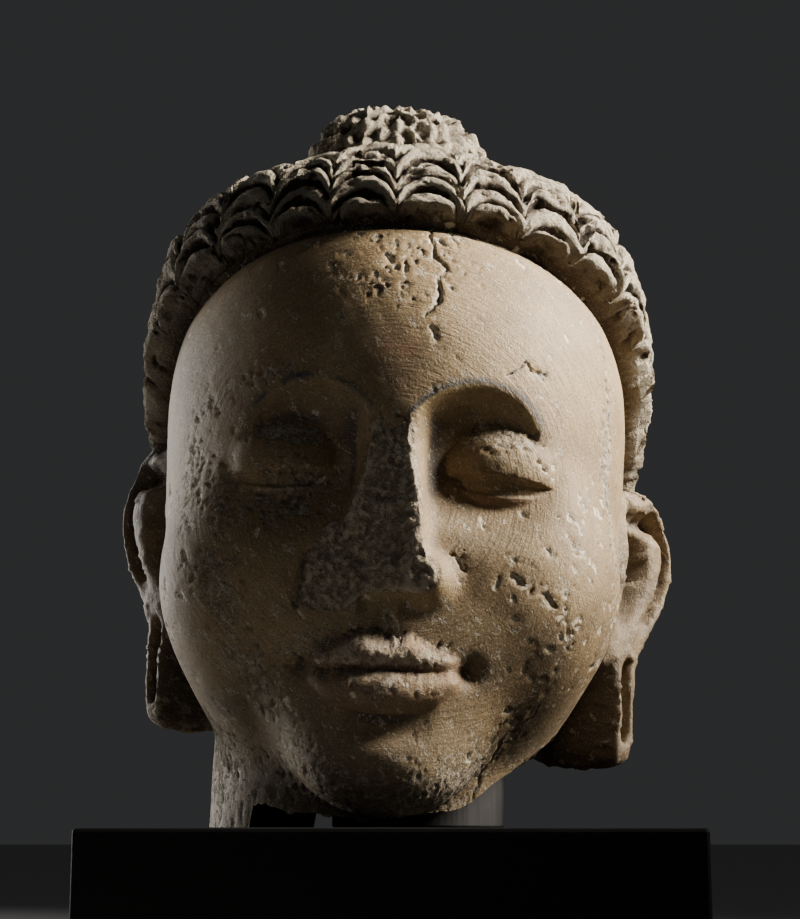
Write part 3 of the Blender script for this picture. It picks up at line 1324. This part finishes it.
def stucco_finish(colours):
    """Slip, and coats over it from the lowest to the top: bare plaster and the break's clods,
    soiled ears, hair, rubbed edges and soil in the hollows, pits, chips and cracks with pale
    rims and dark cores, what is left of the paint, and grain."""
    f = Stucco()
    bare = f.mix(f.ramp(f.grit * 0.7 + f.mottle * 0.5, 0.48, 0.76),
                 shaded(colours.plaster, 0.40), colours.plaster)
    clods = f.mix(f.ramp(f.ragged * 0.6 + f.grit * 0.4 + f.edge * 0.2, 0.42, 0.72),
                  CLOD_DARK, CLOD_PALE)
    grubby = f.ramp(f.stains * 0.5 + f.ragged * 0.5, 0.58, 0.44)
    locks = f.mix(f.ramp(f.ragged * 0.35 + f.grit * 0.35 + f.crest * 0.35, 0.23, 0.53),
                  LOCK_DARK, LOCK_PALE)
    locks = f.mix(f.ramp(f.stains, 0.58, 0.40) * 0.45, locks, LOCK_STAIN)
    soil = f.hollow * (0.35 + 0.40 * f.hair) + f.nick * 0.30 * f.rough
    soil = soil + f.ramp(f.hollow, 0.45, 1.0) * 0.4
    colour = f.coated(
        slip_colour(f, colours),
        (f.gone * 0.70, bare),
        (f.broken, clods),
        (f.ear * (1.05 + 0.7 * grubby), EAR_SOIL),
        (f.ramp(f.ear, 0.5, 0.95) * 0.60, LOBE_SOIL),
        (f.hair * 0.92, locks),
        ((f.edge * 0.5).clamped() * f.rough * (1 - f.broken * 0.6), RUBBED_EDGE),
        (f.ramp(soil + f.mottle * 0.3 - 0.12, 0.08, 0.80), colours.dirt),
        (f.groove * 0.85, shaded(colours.dirt, 0.6)),
        (f.ramp(f.pit, 0.02, 0.22) * 0.85, PALE_RIM),
        (f.ramp(f.pit, 0.40, 0.80) * 0.55, PIT_CORE),
        (f.chips * 0.8, PALE_RIM),
        (f.ramp(f.chipping, 0.650, 0.668) * (1 - f.rough) * 0.85, CHIP_CORE),
        (f.ramp(f.crack, 0.05, 0.4) * 0.55, CRACK_RIM),
        (f.ramp(f.crack, 0.5, 0.9) * 0.75, shaded(colours.dirt, 0.7)),
        (f.brow * f.ramp(f.grit, 0.25, 0.45) * 0.92, colours.brow),
        (f.gold * f.ramp(f.grit, 0.30, 0.50) * 0.8, GILDING),
        (f.red * f.ramp(f.mottle, 0.3, 0.6), colours.red),
        (f.ramp(f.grain, 0.54, 0.68) * 0.38, PALE_GRAIN),
        (f.ramp(f.grain, 0.46, 0.32) * 0.60, shaded(colours.dirt, 1.2)))

    coarse = f.bump((f.ragged * 0.7 + f.grit * 1.2 + f.mottle * 0.3) * f.hair, 0.0050, 0.9)
    lumps = f.ragged * (0.12 + 0.88 * f.gone) + f.grit * (0.15 + 0.5 * f.gone)
    lumps = f.bump(lumps - f.gone * 0.35 - f.chips * 0.3, 0.0012, 0.85, coarse)
    fine = f.grain * (0.45 + 0.55 * f.rough) + f.streaks * (1 - f.rough) * 0.6
    f.set(Base_Color=colour, Roughness=0.62 + 0.28 * f.rough, Specular_IOR_Level=0.4,
          Normal=f.bump(fine, 0.00065, 0.85, lumps))
    return f.material


def post_finish(colours):
    """Dark satin paint with faint upright brushing and a little dust."""
    f = Finish("post_paint")
    brushing = f.noise(1.0, 4.0, 0.6, vector=f.stretched((900.0, 900.0, 14.0)))
    dust = f.noise(260.0, 4.0, 0.7)
    colour = f.coated(
        f.mix(f.ramp(brushing, 0.35, 0.7) * 0.5, colours.post, shaded(colours.post, 1.9)),
        (f.ramp(dust, 0.62, 0.8) * 0.3, (0.16, 0.15, 0.14)))
    f.set(Base_Color=colour, Roughness=0.42 + 0.2 * brushing, Normal=f.bump(brushing, 0.0002, 0.5))
    return f.material


def base_finish(colours):
    """Matt black paint with a fine orange peel, faint scuffs and specks of plaster dust."""
    f = Finish("base_paint")
    peel = f.noise(650.0, 2.0, 0.5)
    scuffs = f.noise(1.0, 5.0, 0.65, vector=f.stretched((30.0, 30.0, 260.0)), distortion=0.6)
    dust = f.noise(420.0, 4.0, 0.75)
    colour = f.coated(
        f.mix(f.ramp(scuffs, 0.55, 0.85) * 0.5, colours.base, (0.006, 0.006, 0.006)),
        (f.ramp(dust, 0.70, 0.82) * 0.35, (0.10, 0.09, 0.075)))
    f.set(Base_Color=colour, Roughness=0.55 + 0.18 * scuffs, Specular_IOR_Level=0.12,
          Normal=f.bump(peel, 0.0001, 0.35))
    return f.material


def floor_finish(colour):
    """A matt floor of one colour."""
    f = Finish("pale_floor")
    f.set(Base_Color=(*colour, 1.0), Roughness=0.9)
    return f.material


# Operators

class STUCCO_OT_head(bpy.types.Operator):
    """Make the worn head, with its hair, topknot, ears and broken neck, as one closed mesh"""

    bl_idname = "stucco.make_head"
    bl_label = "Head"

    def execute(self, context):
        sizes = context.scene.stucco_sizes
        placement = head_placement(sizes)
        skin = wear_skin(skin_surface(*sizes.lines(*SKIN_LINES)), sizes)
        hair = wear_rough(hair_surface(*sizes.lines(*LOCK_LINES, least=6)), sizes, *HAIR_WEAR)
        topknot = topknot_surface(*sizes.lines(*TOPKNOT_LINES))
        topknot = wear_rough(topknot, sizes, *TOPKNOT_WEAR)
        head = shell("stucco_head", skin, placement, SKIN_SHARE)
        combine(head, shell("hair", hair, placement, ROUGH_SHARE), "UNION")
        combine(head, shell("topknot", topknot, placement, ROUGH_SHARE), "UNION")
        combine(head, break_cutter(sizes.angula, *sizes.lines(BREAK_LINES)), "DIFFERENCE")
        for ear in worn_ears(sizes):
            combine(head, shell("ear", ear, placement, ROUGH_SHARE), "UNION")
        radius = POST_RADIUS + SOCKET_GAP
        socket = ((radius, POST_LOW[2] - SOCKET_DROP), (radius, POST_HIGH[2] + TOUCH_GAP))
        combine(head, lathe("socket", socket, SOCKET_SIDES), "DIFFERENCE")
        inside = np.clip(read_points(head.data), HEAD_LOW, HEAD_HIGH)
        head.data.vertices.foreach_set("co", inside.astype(np.float32).ravel())
        smooth(head.data, 62)
        mark_head(head.data, sizes)
        finish_piece(head, "head", stucco_finish(context.scene.stucco_colours))
        return {"FINISHED"}


class STUCCO_OT_post(bpy.types.Operator):
    """Make the round post that rises from the base into the head"""

    bl_idname = "stucco.make_post"
    bl_label = "Post"

    def execute(self, context):
        turn = np.linspace(0, pi / 2, 5)
        inner = POST_RADIUS - POST_EDGE
        rounded, squared = POST_EDGE * np.sin(turn), POST_EDGE * np.cos(turn)
        foot = np.stack([inner + rounded, POST_LOW[2] + POST_EDGE - squared], -1)
        head = np.stack([inner + squared, POST_HIGH[2] - POST_EDGE + rounded], -1)
        post = lathe("display_post", np.concatenate([foot, head]), POST_SIDES)
        smooth(post.data, 40)
        finish_piece(post, "mount_post", post_finish(context.scene.stucco_mount))
        return {"FINISHED"}


class STUCCO_OT_base(bpy.types.Operator):
    """Finish the square base in matt black"""

    bl_idname = "stucco.make_base"
    bl_label = "Base"

    def execute(self, context):
        dress(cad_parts["mount_base"], base_finish(context.scene.stucco_mount))
        return {"FINISHED"}


class STUCCO_OT_stage(bpy.types.Operator):
    """Make the floor, the soft studio lights and the camera"""

    bl_idname = "stucco.make_stage"
    bl_label = "Stage"

    def execute(self, context):
        settings = context.scene.stucco_stage
        add_floor(settings.floor)
        for name, (place, aim, width, share, colour, spread) in LIGHTS.items():
            add_light(name, place, aim, width, settings.key_power * share, colour, spread)
        world = bpy.data.worlds.new("studio")
        context.scene.world = world
        world.use_nodes = True
        background = world.node_tree.nodes["Background"]
        background.inputs["Color"].default_value = (*WORLD_COLOUR, 1)
        background.inputs["Strength"].default_value = WORLD_STRENGTH
        lens = bpy.data.cameras.new("camera")
        lens.lens = settings.lens
        lens.sensor_width = 36.0
        lens.clip_start = 0.01
        camera = add_object("camera", lens)
        camera.location = (*settings.camera, BASE_TOP)
        camera.rotation_euler = (pi / 2 + settings.tilt, 0, 0)
        context.scene.camera = camera
        return {"FINISHED"}


def add_floor(colour):
    """A square floor just below the base's underside."""
    corners = ((-1, -1), (1, -1), (1, 1), (-1, 1))
    points = np.array([(FLOOR_HALF * x, FLOOR_HALF * y, FLOOR_Z) for x, y in corners])
    mesh = mesh_from("floor", points, np.array([[0, 1, 2, 3]]), np.zeros((0, 3), int))
    mesh.materials.append(floor_finish(colour))
    add_object("floor", mesh)


def add_light(name, place, aim, width, power, colour, spread):
    """A square soft light aimed at a point, with a hood that spreads its light so many degrees."""
    lamp = bpy.data.lights.new(name, "AREA")
    lamp.size = width
    lamp.spread = radians(spread)
    lamp.energy = power
    lamp.color = colour
    light = add_object(name, lamp)
    light.location = place
    light.rotation_euler = (Vector(aim) - Vector(place)).to_track_quat("-Z", "Y").to_euler()


class STUCCO_PT_panel(bpy.types.Panel):
    """Lists the operators and their settings"""

    bl_label = "Stucco Head"
    bl_idname = "STUCCO_PT_panel"
    bl_space_type = "VIEW_3D"
    bl_region_type = "UI"
    bl_category = "Stucco Head"

    def draw(self, context):
        for operator in OPERATORS:
            self.layout.operator(operator.bl_idname)
        for name in GROUPS:
            box = self.layout.box()
            group = getattr(context.scene, name)
            for setting in group.bl_rna.properties:
                if setting.identifier not in ("name", "rna_type"):
                    box.prop(group, setting.identifier)


GROUPS = {
    "stucco_sizes": HeadSizes,
    "stucco_colours": HeadColours,
    "stucco_mount": MountColours,
    "stucco_stage": StageSettings,
}
OPERATORS = (STUCCO_OT_stage, STUCCO_OT_head, STUCCO_OT_post, STUCCO_OT_base)


def register():
    for group in GROUPS.values():
        bpy.utils.register_class(group)
    for thing in (*OPERATORS, STUCCO_PT_panel):
        bpy.utils.register_class(thing)
    for name, group in GROUPS.items():
        setattr(bpy.types.Scene, name, bpy.props.PointerProperty(type=group))


def unregister():
    for name in GROUPS:
        delattr(bpy.types.Scene, name)
    for thing in (STUCCO_PT_panel, *OPERATORS, *GROUPS.values()):
        bpy.utils.unregister_class(thing)


def main():
    """Makes the stage and the pieces."""
    register()
    bpy.ops.stucco.make_stage()
    bpy.ops.stucco.make_head()
    bpy.ops.stucco.make_post()
    bpy.ops.stucco.make_base()


if __name__ == "__main__":
    main()
